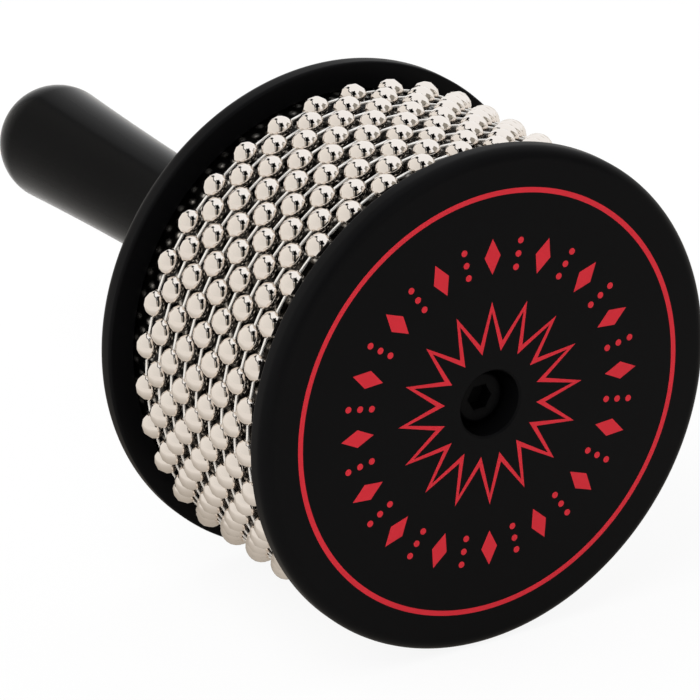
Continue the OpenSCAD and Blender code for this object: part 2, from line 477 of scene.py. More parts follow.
@dataclass(frozen=True)
class Finish:
    """A finish whose colour, roughness and surface vary a little over the piece.

    Where the piece has an embossing, its raised parts take the colour of the tops.
    """

    name: str
    light: tuple[float, float, float]
    dark: tuple[float, float, float]
    metallic: float = 0.0
    smooth: float = 0.3
    rough: float = 0.45
    cloud_scale: float = 60.0
    grain_scale: float = 1800.0
    grain_height: float = 0.02 * MM
    specular: float = 0.5
    sheen: float = 0.0
    sheen_rough: float = 0.3
    stretch: tuple[float, float, float] = (1.0, 1.0, 1.0)
    tops: tuple[float, float, float] | None = None

    def material(self) -> bpy.types.Material:
        """Makes the material: the shared group, with this finish's values, feeds one shader.

        Returns:
            The new material.
        """
        made, tree = new_material(self.name)
        varied = tree.nodes.new("ShaderNodeGroup")
        varied.node_tree = CloudAndGrain().group()
        feed(tree, varied, {
            "Light": self.light, "Dark": self.dark, "Smooth": self.smooth, "Rough": self.rough,
            "Cloud Scale": self.cloud_scale, "Grain Scale": self.grain_scale, "Stretch": self.stretch})
        colour = varied.outputs["Color"]
        if self.tops is not None:
            colour = mixed(tree, attribute(tree, RAISED), colour, self.tops)
        bump = new_node(tree, "ShaderNodeBump", {"Strength": 1.0, "Distance": self.grain_height,
                                                 "Height": varied.outputs["Height"]})
        feed(tree, tree.nodes["Principled BSDF"], {
            "Metallic": self.metallic, "Specular IOR Level": self.specular, "Sheen Weight": self.sheen,
            "Sheen Roughness": self.sheen_rough, "Base Color": colour,
            "Roughness": varied.outputs["Roughness"], "Normal": bump.outputs["Normal"]})
        return made


@dataclass(frozen=True)
class Finishes:
    """Every finish of the instrument."""

    disc: Finish = Finish("moulded_black", (0.0036, 0.0036, 0.004), (0.0028, 0.0028, 0.0031),
                          smooth=0.34, rough=0.42, cloud_scale=45.0, grain_scale=2600.0,
                          grain_height=0.004 * MM, specular=0.045)
    grip: Finish = Finish("satin_black", (0.0013, 0.0013, 0.0014), (0.001, 0.001, 0.0011),
                          smooth=0.22, rough=0.28, cloud_scale=30.0, grain_scale=1500.0,
                          grain_height=0.004 * MM, specular=0.035, sheen=0.42, sheen_rough=0.26)
    nickel: Finish = Finish("nickel_plate", (0.89, 0.84, 0.79), (0.85, 0.79, 0.74), metallic=1.0,
                            smooth=0.03, rough=0.07, cloud_scale=240.0, grain_scale=2200.0,
                            grain_height=0.003 * MM)
    wire: Finish = Finish("bright_wire", (0.97, 0.95, 0.92), (0.9, 0.88, 0.85), metallic=0.7,
                          smooth=0.14, rough=0.26, cloud_scale=500.0, grain_scale=4000.0,
                          grain_height=0.004 * MM)
    # The sleeve's steel below its raised tops is painted nearly black: painted shade between the grains and
    # in the gaps under the bead loops. Only the tops keep the steel's own pale colour.
    sleeve: Finish = Finish("embossed_steel", (0.05, 0.048, 0.045), (0.008, 0.0075, 0.007), metallic=1.0,
                            smooth=0.2, rough=0.36, cloud_scale=300.0, grain_scale=3000.0,
                            grain_height=0.01 * MM, tops=(0.9, 0.87, 0.82))
    ink: Finish = Finish("red_ink", (0.66, 0.024, 0.038), (0.58, 0.019, 0.031), smooth=0.4,
                         rough=0.5, cloud_scale=120.0, grain_scale=3000.0, grain_height=0.003 * MM,
                         specular=0.1)
    bolt: Finish = Finish("black_oxide", (0.003, 0.003, 0.0033), (0.002, 0.002, 0.0022), specular=0.04,
                          smooth=0.34, rough=0.5, cloud_scale=250.0, grain_scale=2500.0,
                          grain_height=0.006 * MM)
    beech: Finish = Finish("turned_beech", (0.62, 0.42, 0.25), (0.42, 0.26, 0.13), smooth=0.5,
                           rough=0.7, cloud_scale=70.0, grain_scale=900.0, grain_height=0.05 * MM,
                           stretch=(1.0, 0.12, 1.0))
    brass: Finish = Finish("turned_brass", (0.78, 0.57, 0.26), (0.66, 0.45, 0.18), metallic=1.0,
                           smooth=0.2, rough=0.34, cloud_scale=200.0, grain_scale=2500.0,
                           grain_height=0.006 * MM)


# Pieces


def dress(piece: bpy.types.Object, body: Body, slot: Slot, *nodes: str) -> None:
    """Lets a piece ride on its body and hides the nodes that it stands for.

    Args:
        piece: the finished piece.
        body: the body that it moves with.
        slot: the slot that it would take its finish from; not used.
        nodes: the nodes that it replaces.
    """
    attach(piece, body.value)
    if nodes:
        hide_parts(*nodes)
    LOG.info("%s: %d faces, rides on %s", piece.name, len(piece.data.polygons), body.value)


@dataclass(frozen=True)
class EndDisc:
    """A moulded end disc with its hub, its pegs and the groove that holds the sleeve."""

    name: str
    node: str
    outer_face: float
    inward: float
    hub_r: float
    hub_end: float
    pocket_r: float
    pocket_depth: float
    pocket_lead: float = 0.0
    keyed: bool = False
    flat_half: float = 10.15 * MM
    shoulder_r: float = 3.2 * MM
    edge_r: float = 0.8 * MM
    peg_r: float = 3.0 * MM
    peg_ring_r: float = 36.0 * MM
    peg_end: float = 13.2 * MM
    pegs: int = 3
    shoulder_steps: int = 14
    edge_steps: int = 6
    segments: int = 256

    def pocket(self) -> list[tuple[float, float]]:
        """Half section of the pocket, from the bolt's hole out to its mouth, with a bevel if it has one.

        Returns:
            Depth below the outer face and radius of each step.
        """
        wall = [(self.pocket_depth, DRUM.bolt_hole_r), (self.pocket_depth, self.pocket_r)]
        if self.pocket_lead:
            wall.append((self.pocket_lead, self.pocket_r))
        return wall + [(0.0, self.pocket_r + self.pocket_lead)]

    def profile(self) -> np.ndarray:
        """The disc's half section, counted inwards from its outer face: pocket, flat face, rounded
        shoulder, rim, rounded chain side, groove and hub.

        Returns:
            Depth below the outer face and radius of each step.
        """
        r, t = DRUM.disc_r, DRUM.disc_t
        groove_out = DRUM.sleeve_r + DRUM.fit_gap
        groove_in = DRUM.sleeve_r - DRUM.sleeve_t - DRUM.fit_gap
        shoulder = arc((self.shoulder_r, r - self.shoulder_r), self.shoulder_r, 180.0, 90.0,
                       self.shoulder_steps)
        edge = arc((t - self.edge_r, r - self.edge_r), self.edge_r, 90.0, 0.0, self.edge_steps)
        inner = [(t, groove_out), (t - DRUM.groove_depth, groove_out),
                 (t - DRUM.groove_depth, groove_in), (t, groove_in), (t, self.hub_r),
                 (self.hub_end, self.hub_r), (self.hub_end, DRUM.bolt_hole_r)]
        return np.concatenate([np.array(self.pocket()), shoulder, edge, np.array(inner)])

    def build(self, finish: bpy.types.Material) -> None:
        """Builds the disc and lets it stand for its node.

        Args:
            finish: its material.
        """
        profile = self.profile()
        keyed = np.arange(len(profile)) < (len(self.pocket()) if self.keyed else 0)
        limit = sides_limit(keyed, self.flat_half, 2, self.segments)
        profile[:, 0] = self.outer_face + self.inward * profile[:, 0]
        shell = Shell()
        shell.add(*turned(profile, self.segments, True, limit))
        start, end = [self.outer_face + self.inward * depth for depth in (DRUM.disc_t / 2, self.peg_end)]
        for i in range(self.pegs):
            shell.add(*peg(self.peg_ring_r, 2 * math.pi * i / self.pegs, self.peg_r, start, end))
        dress(shell.build(self.name, finish), Body.DRUM, Slot.DISC, self.node)


@dataclass(frozen=True)
class Sleeve:
    """The rolled steel sheet, embossed all over with small raised grains in staggered rows."""

    seam: float = 0.6 * MM
    seam_turn: float = -75.0
    emboss: float = 0.28 * MM
    grain_floor: float = 0.4
    grain_power: float = 0.7
    pitch_round: float = 2.9 * MM
    pitch_along: float = 2.3 * MM
    around: int = 760
    along: int = 129

    def heights(self, run: np.ndarray, depth: np.ndarray) -> np.ndarray:
        """Height of the embossing: ((cos u + 2 cos(v / 2) cos(u / 2) - floor) / 2) to a power, where
        it is positive. Its grains stand in a diamond layout, each row half a pitch on from the last.

        Args:
            run: distance round the sleeve.
            depth: distance along it.

        Returns:
            Heights from 0 to 1.
        """
        u = 2 * np.pi * run / self.pitch_round
        v = 2 * np.pi * depth / self.pitch_along
        grain = (np.cos(u) + 2 * np.cos(v / 2) * np.cos(u / 2) - self.grain_floor) / 2
        return np.clip(grain, 0.0, 1.0) ** self.grain_power

    def build(self, finish: bpy.types.Material) -> None:
        """Builds the sleeve as one loop of points per turn step: embossed outside, plain inside.

        Args:
            finish: its material.
        """
        start = DRUM.disc_t - DRUM.groove_depth + DRUM.fit_gap
        end = DRUM.back_face - start
        half = math.asin(self.seam / 2 / DRUM.sleeve_r)
        first = math.radians(self.seam_turn)
        turn = np.linspace(first + half, first + 2 * np.pi - half, self.around)
        depth = np.linspace(start, end, self.along)
        raised = self.heights(turn[:, None] * DRUM.sleeve_r, depth[None, :])
        outside = DRUM.sleeve_r - self.emboss * (1.0 - raised)
        outside[:, [0, -1]] = DRUM.sleeve_r
        inside = np.full((self.around, 2), DRUM.sleeve_r - DRUM.sleeve_t)
        depths = np.concatenate([depth, [end, start]])
        points = AXIS.place(depths[None, :], np.concatenate([outside, inside], axis=1), turn[:, None])
        count = len(depths)
        ends = np.stack([np.arange(count), np.arange(count) + (self.around - 1) * count])
        shell = Shell()
        shell.add(points, grid_faces(self.around, count, False, True), ends)
        piece = shell.build("embossed_sleeve", finish)
        lie = np.empty(len(piece.data.vertices) * 3)
        piece.data.vertices.foreach_get("co", lie)
        lie = lie.reshape(-1, 3)
        radius = np.hypot(lie[:, 0], lie[:, 2] - AXIS.height)
        # The raised tops take the steel's own colour; the lower steel keeps the painted shade of the
        # sleeve's finish.
        share = np.clip(1.0 + (radius - DRUM.sleeve_r) / self.emboss, 0.0, 1.0) ** 2
        piece.data.attributes.new(RAISED, "FLOAT", "POINT").data.foreach_set("value", share)
        dress(piece, Body.DRUM, Slot.SLEEVE, "texture_sleeve")


@dataclass(frozen=True)
class Handle:
    """The round handle: collar, hollow, long hollow arc, domed butt and keyed spigot."""

    length: float = 149.2 * MM
    butt_r: float = 16.1 * MM
    waist_r: float = 13.3 * MM
    waist_at: float = 26.0 * MM
    collar_r: float = 16.5 * MM
    collar_t: float = 3.0 * MM
    hollow_r: float = 7.0 * MM
    spigot_r: float = 11.8 * MM
    spigot_len: float = 13.8 * MM
    flat_half: float = 10.0 * MM
    flange_r: float = 8.55 * MM
    flange_t: float = 1.5 * MM
    insert_r: float = 7.05 * MM
    insert_len: float = 22.0 * MM
    bolt_reach: float = 28.6 * MM
    hollow_steps: int = 16
    grip_steps: int = 60
    dome_steps: int = 40
    segments: int = 192

    @property
    def dome_at(self) -> float:
        """Distance of the dome's middle from the back disc."""
        return self.length - self.butt_r

    @property
    def arc_r(self) -> float:
        """Radius of the long arc, which leaves the waist level and runs into the round butt:
        (run squared + waist squared - butt squared) / (2 (butt - waist))."""
        run = self.dome_at - self.waist_at
        return (run ** 2 + self.waist_r ** 2 - self.butt_r ** 2) / (2 * (self.butt_r - self.waist_r))

    def grip_radius(self, along: np.ndarray) -> np.ndarray:
        """Radius of the grip: waist + arc - square root of (arc squared - distance from waist squared).

        Args:
            along: distance from the back disc.

        Returns:
            The radius there.
        """
        return self.waist_r + self.arc_r - np.sqrt(self.arc_r ** 2 - (along - self.waist_at) ** 2)

    def profile(self) -> tuple[np.ndarray, int]:
        """Half section from the bottom of the bolt's hole, round the spigot and the grip, to the tip.

        Returns:
            Distance from the back disc and radius of each step, and the number of the first
            step of the spigot's outside.
        """
        foot = -self.spigot_len
        bore = [(foot + self.bolt_reach, 0.0), (foot + self.bolt_reach, DRUM.bolt_hole_r),
                (foot + self.insert_len, DRUM.bolt_hole_r), (foot + self.insert_len, self.insert_r),
                (foot + self.flange_t, self.insert_r), (foot + self.flange_t, self.flange_r),
                (foot, self.flange_r)]
        spigot = [(foot, self.spigot_r), (0.0, self.spigot_r)]
        hollow_at = self.collar_t + self.hollow_r
        middle = float(self.grip_radius(np.array(hollow_at))) + self.hollow_r
        reach = math.degrees(math.asin((middle - self.collar_r) / self.hollow_r))
        hollow = arc((hollow_at, middle), self.hollow_r, 270.0 - reach, 270.0, self.hollow_steps)
        share = self.butt_r / (self.butt_r + self.arc_r)
        tangent = self.dome_at - (self.dome_at - self.waist_at) * share
        along = np.linspace(hollow_at, tangent, self.grip_steps)[1:]
        grip = np.stack([along, self.grip_radius(along)], axis=1)
        lean = math.degrees(math.asin((tangent - self.dome_at) / self.butt_r))
        dome = arc((self.dome_at, 0.0), self.butt_r, 90.0 - lean, 0.0, self.dome_steps)[1:]
        steps = [np.array(bore), np.array(spigot), np.array([(0.0, self.collar_r)]), hollow, grip, dome]
        return np.concatenate(steps), len(bore)

    def build(self, finish: bpy.types.Material) -> None:
        """Builds the handle and lets it stand for its node.

        Args:
            finish: its material.
        """
        profile, spigot_from = self.profile()
        keyed = np.zeros(len(profile), bool)
        keyed[spigot_from:spigot_from + 2] = True
        profile[:, 0] += DRUM.back_face
        shell = Shell()
        limit = sides_limit(keyed, self.flat_half, 2, self.segments)
        shell.add(*turned(profile, self.segments, False, limit))
        dress(shell.build("grip", finish), Body.DRUM, Slot.GRIP, "handle")


@dataclass(frozen=True)
class TieBolt:
    """The cap bolt: rounded head with its hexagonal socket, and plain shank."""

    head_at: float = 4.8 * MM
    head_r: float = 6.5 * MM
    head_h: float = 8.0 * MM
    round_r: float = 0.8 * MM
    shank_r: float = 4.0 * MM
    shank_len: float = 80.0 * MM
    socket_half: float = 3.0 * MM
    socket_depth: float = 4.0 * MM
    socket_point: float = 0.6 * MM
    socket_lead: float = 0.2 * MM
    mouth_share: float = 1.22
    round_steps: int = 8
    segments: int = 96

    def build(self, finish: bpy.types.Material) -> None:
        """Builds the bolt and lets it stand for its node.

        Args:
            finish: its material.
        """
        top, base = self.head_at, self.head_at + self.head_h
        tip = base + self.shank_len
        floor_at = top + self.socket_depth
        socket = [(floor_at + self.socket_point, 0.0), (floor_at, self.head_r),
                  (top + self.socket_lead, self.head_r)]
        mouth = [(top, self.socket_half * self.mouth_share)]
        crown = arc((top + self.round_r, self.head_r - self.round_r), self.round_r, 180.0, 90.0,
                    self.round_steps)
        shank = [(base, self.head_r), (base, self.shank_r), (tip - self.round_r, self.shank_r),
                 (tip, self.shank_r - self.round_r), (tip, 0.0)]
        profile = np.concatenate([np.array(socket + mouth), crown, np.array(shank)])
        limit = sides_limit(np.arange(len(profile)) < len(socket), self.socket_half, 6, self.segments)
        shell = Shell()
        shell.add(*turned(profile, self.segments, False, limit))
        dress(shell.build("cap_bolt", finish), Body.DRUM, Slot.BOLT, "tie_bolt")


@dataclass(frozen=True)
class BeadChains:
    """Nine closed loops of hollow beads and their link pins, every second one turned by half a step."""

    loops: int = 9
    beads: int = 35
    loop_r: float = 61.1 * MM
    bead_r: float = 3.475 * MM
    bead_half: float = 2.8 * MM
    edge_share: float = 0.49
    hole_r: float = 0.7 * MM
    wall: float = 0.4 * MM
    first_at: float = 13.675 * MM
    spacing: float = 5.9 * MM
    chain_turn: float = -3.2
    sides: int = 12
    bands: int = 7
    fullness: float = 1.013
    first_band: float = 24.0
    pin_r: float = 0.4 * MM
    head_r: float = 1.0 * MM
    head_offset: float = 1.4 * MM
    head_angles: tuple[float, ...] = (0.0, 45.0, 90.0)
    pin_sides: int = 8
    bead_sharp: float = 55.0
    pin_sharp: float = 70.0

    @property
    def step(self) -> float:
        """Turn from one bead to the next, in radians."""
        return 2 * math.pi / self.beads

    def bead_surface(self, facing: np.ndarray) -> np.ndarray:
        """Points of a bead that face given directions: ring r x sideways + edge r x facing on its
        round edge, and flat r x facing - (flat r - half thickness) x outwards on its flat sides.

        Args:
            facing: unit vectors, as along the chain, across and outwards.

        Returns:
            The points.
        """
        edge_r = self.edge_share * self.bead_r
        ring_r = self.bead_r - edge_r
        flat_r = (ring_r ** 2 + self.bead_half ** 2 - edge_r ** 2) / (2 * (self.bead_half - edge_r))
        sideways = facing * np.array([1.0, 1.0, 0.0])
        sideways /= np.maximum(np.linalg.norm(sideways, axis=-1, keepdims=True), LEAST)
        outwards = np.sign(facing[..., 2:3]) * np.array([0.0, 0.0, 1.0])
        meet = (flat_r - self.bead_half) / (flat_r - edge_r)
        on_flat = np.abs(facing[..., 2:3]) > meet
        return np.where(on_flat, flat_r * facing - (flat_r - self.bead_half) * outwards,
                        ring_r * sideways + edge_r * facing)

    def bead(self) -> tuple[np.ndarray, np.ndarray, np.ndarray]:
        """One bead about its own middle, with its holes on the line of the chain.

        Each ring faces at one angle to the chain, and its corners stand out a little, so that the
        flat faces lie on both sides of the true surface. The rims of the holes are round, and a
        ring inside each hole is closed by one face.

        Returns:
            The points, as along the chain, across and outwards, the quads and the two caps.
        """
        b = np.linspace(0.0, 2 * np.pi, self.sides, endpoint=False)
        a = np.radians(np.linspace(self.first_band, 180.0 - self.first_band, self.bands - 1))[:, None]
        facing = np.stack(np.broadcast_arrays(np.cos(a), np.sin(a) * np.cos(b), np.sin(a) * np.sin(b)),
                          axis=-1)
        rings = self.fullness * self.bead_surface(facing)
        edge_r = self.edge_share * self.bead_r
        across, out = self.hole_r * np.cos(b), self.hole_r * np.sin(b)
        reach = self.bead_r - edge_r + np.sqrt(edge_r ** 2 - out ** 2)
        rim = np.stack([np.sqrt(reach ** 2 - across ** 2), across, out], axis=-1)[None]
        sunk = rim - np.array([self.wall, 0.0, 0.0])
        flip = np.array([-1.0, 1.0, 1.0])
        points = np.concatenate([sunk, rim, rings, rim * flip, sunk * flip])
        last = (len(points) - 1) * self.sides
        caps = np.stack([np.arange(self.sides), last + np.arange(self.sides)])
        return points.reshape(-1, 3), grid_faces(len(points), self.sides, False, True), caps

    def pin(self) -> tuple[np.ndarray, np.ndarray]:
        """One link pin about its own middle: a thin rod with a round head at each end, whose rings
        lie at (middle + radius cos a, radius sin a) from its tip to the rod.

        Returns:
            The points, as along the chain, across and outwards, and the quads.
        """
        half_run = self.loop_r * math.sin(self.step / 2) - self.head_offset
        neck = 180.0 - math.degrees(math.asin(self.pin_r / self.head_r))
        a = np.radians([*self.head_angles, neck])
        head = np.stack([half_run + self.head_r * np.cos(a), self.head_r * np.sin(a)], axis=1)
        profile = np.concatenate([head, (head * np.array([-1.0, 1.0]))[::-1]])
        b = np.linspace(0.0, 2 * np.pi, self.pin_sides, endpoint=False)
        points = np.stack(np.broadcast_arrays(profile[:, 0:1], profile[:, 1:2] * np.cos(b),
                                              profile[:, 1:2] * np.sin(b)), axis=-1)
        return points.reshape(-1, 3), grid_faces(len(profile), self.pin_sides, False, True)

    def copies(self, points: np.ndarray, number: int, middle_r: float, shift: float) -> np.ndarray:
        """Copies points of one bead or pin to every step of a loop, turned to face outwards there.

        Args:
            points: its points, as along the chain, across and outwards.
            number: number of the loop, from 1 at the front.
            middle_r: distance of its middle from the drum's axis.
            shift: its place along the chain, in steps.

        Returns:
            The points of every copy.
        """
        start = math.radians(self.chain_turn) + (number % 2) * self.step / 2
        turn = -(start + self.step * (np.arange(self.beads) + shift))[:, None]
        out, side = middle_r + points[None, :, 2], points[None, :, 0]
        x = out * np.cos(turn) - side * np.sin(turn)
        z = AXIS.height + out * np.sin(turn) + side * np.cos(turn)
        y = AXIS.front_y + self.first_at + (number - 1) * self.spacing + points[None, :, 1]
        return np.stack([x, np.broadcast_to(y, x.shape), z], axis=-1)

    def loop(self, number: int, beads: bpy.types.Material, pins: bpy.types.Material) -> None:
        """Builds one loop as two pieces, its beads and its link pins.

        Args:
            number: number of the loop, from 1 at the front.
            beads: material of the beads.
            pins: material of the link pins.
        """
        points, faces, caps = self.bead()
        shell = Shell()
        shell.add_copies(self.copies(points, number, self.loop_r, 0.0), faces, caps)
        piece = shell.build(f"beads_{number}", beads, self.bead_sharp)
        dress(piece, Body.CHAINS, Slot.BEADS, f"bead_loop_{number}")
        points, faces = self.pin()
        shell = Shell()
        shell.add_copies(self.copies(points, number, self.loop_r * math.cos(self.step / 2), 0.5), faces)
        piece = shell.build(f"pins_{number}", pins, self.pin_sharp)
        dress(piece, Body.CHAINS, Slot.PINS, f"link_pins_{number}")

    def build(self, beads: bpy.types.Material, pins: bpy.types.Material) -> None:
        """Builds every loop.

        Args:
            beads: material of the beads.
            pins: material of the link pins.
        """
        for number in range(1, self.loops + 1):
            self.loop(number, beads, pins)


@dataclass(frozen=True)
class FacePrint:
    """The red print on the front face: a plain ring, a zigzag sun round the pocket and a full
    circle of lozenges and dots."""

    ring_r: float = 54.6 * MM
    ring_w: float = 1.33 * MM
    proud: float = 0.03 * MM
    sunk: float = 0.05 * MM
    rays: int = 16
    ray_in: float = 15.0 * MM
    ray_out: float = 25.5 * MM
    ray_w: float = 1.3 * MM
    lozenges: int = 16
    lozenge_r: float = 38.5 * MM
    lozenge_half: tuple[float, float] = (4.6 * MM, 2.3 * MM)
    dot_r: float = 0.85 * MM
    dot_gap: float = 3.4 * MM
    ring_sides: int = 256
    dot_sides: int = 14

    def prism(self, shell: Shell, outline: np.ndarray) -> None:
        """Adds flat prints: each outline is filled at the top and at the bottom.

        Args:
            shell: the shell that they go to.
            outline: x and z about the axis of each outline's corners.
        """
        count, corners = outline.shape[:2]
        heights = np.array([-self.proud, self.sunk])
        x = np.broadcast_to(outline[:, None, :, 0], (count, 2, corners))
        z = np.broadcast_to(AXIS.height + outline[:, None, :, 1], x.shape)
        y = np.broadcast_to(AXIS.front_y + heights[None, :, None], x.shape)
        ends = np.stack([np.arange(corners), corners + np.arange(corners)])
        shell.add_copies(np.stack([x, y, z], axis=-1), grid_faces(2, corners, False, True), ends)

    def band(self, shell: Shell, inner: np.ndarray, outer: np.ndarray) -> None:
        """Adds a closed flat band between an inner and an outer line with as many points.

        Args:
            shell: the shell that it goes to.
            inner: x and z about the axis of the inner line.
            outer: the same of the outer line.
        """
        lines = np.stack([inner, outer, outer, inner])
        y = AXIS.front_y + np.array([-self.proud, -self.proud, self.sunk, self.sunk])
        points = np.stack([lines[..., 0], np.broadcast_to(y[:, None], lines.shape[:2]),
                           AXIS.height + lines[..., 1]], axis=-1)
        shell.add(points, grid_faces(4, len(inner), True, True))

    def directions(self, count: int) -> np.ndarray:
        """Even directions round the axis: (cos a, sin a), from +X on."""
        a = np.linspace(0.0, 2 * np.pi, count, endpoint=False)
        return np.stack([np.cos(a), np.sin(a)], axis=1)

    def around(self, radius: float, shape: np.ndarray, shift: float = 0.0) -> np.ndarray:
        """Copies an outline, given outwards and across, to the place of every lozenge.

        Args:
            radius: distance of each copy's middle from the axis.
            shape: the outline's corners.
            shift: turn of the first copy, in steps.

        Returns:
            The corners of every copy, as x and z about the axis.
        """
        turn = (2 * np.pi * (np.arange(self.lozenges) + shift) / self.lozenges)[:, None]
        out, across = radius + shape[None, :, 0], shape[None, :, 1]
        return np.stack([out * np.cos(turn) - across * np.sin(turn),
                         out * np.sin(turn) + across * np.cos(turn)], axis=-1)

    def build(self, finish: bpy.types.Material) -> None:
        """Builds the ring and the pattern.

        Args:
            finish: material of the ink.
        """
        circle = self.directions(self.ring_sides)
        ring = Shell()
        self.band(ring, (self.ring_r - self.ring_w / 2) * circle, (self.ring_r + self.ring_w / 2) * circle)
        dress(ring.build("printed_ring", finish), Body.DRUM, Slot.DISC)

        pattern = Shell()
        corners = 2 * self.rays
        out = np.where(np.arange(corners) % 2 == 0, self.ray_out, self.ray_in)[:, None]
        spokes = self.directions(corners)
        self.band(pattern, (out - self.ray_w) * spokes, (out + self.ray_w) * spokes)
        long, wide = self.lozenge_half
        rhomb = np.array([(long, 0.0), (0.0, wide), (-long, 0.0), (0.0, -wide)])
        self.prism(pattern, self.around(self.lozenge_r, rhomb))
        dot = self.dot_r * self.directions(self.dot_sides)
        for shift_out in (0.0, -self.dot_gap, self.dot_gap):
            self.prism(pattern, self.around(self.lozenge_r + shift_out, dot, 0.5))
        dress(pattern.build("printed_pattern", finish), Body.DRUM, Slot.DISC)


def finish_node(node: str, finish: bpy.types.Material) -> None:
    """Gives a node that stays its finish.

    Args:
        node: name of the node.
        finish: its material.
    """
    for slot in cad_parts[node].material_slots:
        slot.material = finish
    LOG.info("%s: finished as %s", node, finish.name)


# Studio

WHITE = (1.0, 1.0, 1.0)
WALL = (0.92, 0.885, 0.835)
FRAME = (0.01, 0.009, 0.008)
SOOT = (0.004, 0.004, 0.004)


@dataclass(frozen=True)
class SoftLight:
    """A soft rectangular light that looks at the drum: its direction from there, as shares of the
    camera's right, up and forward, its distance, its width and height and its power in watts."""

    name: str
    aim: tuple[float, float, float]
    distance: float
    size: tuple[float, float]
    power: float


@dataclass(frozen=True)
class MirrorCard:
    """A card that only the metal mirrors, by its bearings to the right of the camera at its lower
    and upper edges and by its height angles, in degrees. Towards its last bearing it fades to a
    share of its brightness."""

    name: str
    low: tuple[float, float]
    high: tuple[float, float]
    height: tuple[float, float]
    colour: tuple[float, float, float]
    distance: float
    fade: float = 1.0
    rows: int = 9
    columns: int = 13

    def build(self, ahead: Vector, right: Vector, middle: Vector) -> None:
        """Stands the curved card round the drum.

        Its points lie at one distance from the drum, at even steps of bearing and of height angle:
        distance (cos height (cos bearing ahead + sin bearing right) + sin height up).

        Args:
            ahead: level direction from the drum towards the camera.
            right: the camera's right.
            middle: the point that it stands round.
        """
        rise = np.linspace(0.0, 1.0, self.rows)[:, None]
        low, high = np.linspace(*self.low, self.columns), np.linspace(*self.high, self.columns)
        bearing = np.radians(low + (high - low) * rise)[..., None]
        height = np.radians(self.height[0] + (self.height[1] - self.height[0]) * rise)[..., None]
        heading = (np.cos(bearing) * np.array(ahead) + np.sin(bearing) * np.array(right)) * np.cos(height)
        heading[..., 2] += np.sin(height[..., 0])
        points = heading * self.distance + np.array(middle)
        mesh = bpy.data.meshes.new(self.name)
        mesh.from_pydata(points.reshape(-1, 3).tolist(), [],
                         grid_faces(self.rows, self.columns, False, False).tolist())
        shares = np.tile(np.linspace(1.0, self.fade, self.columns), self.rows)
        mesh.attributes.new("share", "FLOAT", "POINT").data.foreach_set("value", shares)
        paint, tree = new_material(self.name)
        glow = new_node(tree, "ShaderNodeEmission", {"Color": self.colour,
                                                     "Strength": attribute(tree, "share")})
        feed(tree, tree.nodes["Material Output"], {"Surface": glow.outputs[0]})
        mesh.materials.append(paint)
        made = new_object(self.name, mesh)
        made.visible_camera = False
        made.visible_shadow = False
        made.visible_diffuse = False
        made.visible_transmission = False


@dataclass(frozen=True)
class Floor:
    """The floor: pale matt paint, lifted towards white where it is seen, and towards the tint of the
    walls, with a painted shadow of the drum close to it, where the metal mirrors it."""

    half: float = 6.0
    grey: float = 0.82
    rough: float = 0.9
    specular: float = 0.1
    seen_share: float = 0.9
    mirrored_share: float = 0.96
    tint: tuple[float, float, float] = (0.84, 0.8, 0.75)
    # Painted shadow of the drum on the floor, only in what the metal mirrors: this colour close to the drum,
    # fading to the tint between these two distances.
    shade: tuple[float, float, float] = (0.42, 0.375, 0.32)
    shade_within: float = 60.0 * MM
    shade_until: float = 200.0 * MM

    def build(self) -> None:
        """Lays the floor and paints it."""
        a = self.half
        mesh = bpy.data.meshes.new("floor")
        mesh.from_pydata([(-a, -a, 0), (a, -a, 0), (a, a, 0), (-a, a, 0)], [], [(0, 1, 2, 3)])
        paint, tree = new_material("pale_floor")
        shader = tree.nodes["Principled BSDF"]
        feed(tree, shader, {"Base Color": (self.grey, self.grey, self.grey), "Roughness": self.rough,
                            "Specular IOR Level": self.specular})
        rays = new_node(tree, "ShaderNodeLightPath").outputs
        away = tree.nodes.new("ShaderNodeVectorMath")
        away.operation = "LENGTH"
        feed(tree, away, {0: new_node(tree, "ShaderNodeTexCoord").outputs["Object"]})
        # Painted shadow: the mirrored colour darkens towards the drum.
        spread = new_node(tree, "ShaderNodeMapRange", {
            "Value": away.outputs["Value"], "From Min": self.shade_within, "From Max": self.shade_until})
        colour = mixed(tree, spread.outputs["Result"], self.shade, self.tint)
        colour = mixed(tree, rays["Is Camera Ray"], colour, WHITE)
        glow = new_node(tree, "ShaderNodeEmission", {"Color": colour})
        seen = worked_out(tree, "MULTIPLY", rays["Is Camera Ray"], self.seen_share)
        mirrored = worked_out(tree, "MULTIPLY", rays["Is Glossy Ray"], self.mirrored_share)
        both = new_node(tree, "ShaderNodeMixShader", {
            0: worked_out(tree, "MAXIMUM", seen, mirrored), 1: shader.outputs[0], 2: glow.outputs[0]})
        feed(tree, tree.nodes["Material Output"], {"Surface": both.outputs[0]})
        mesh.materials.append(paint)
        new_object("floor", mesh)


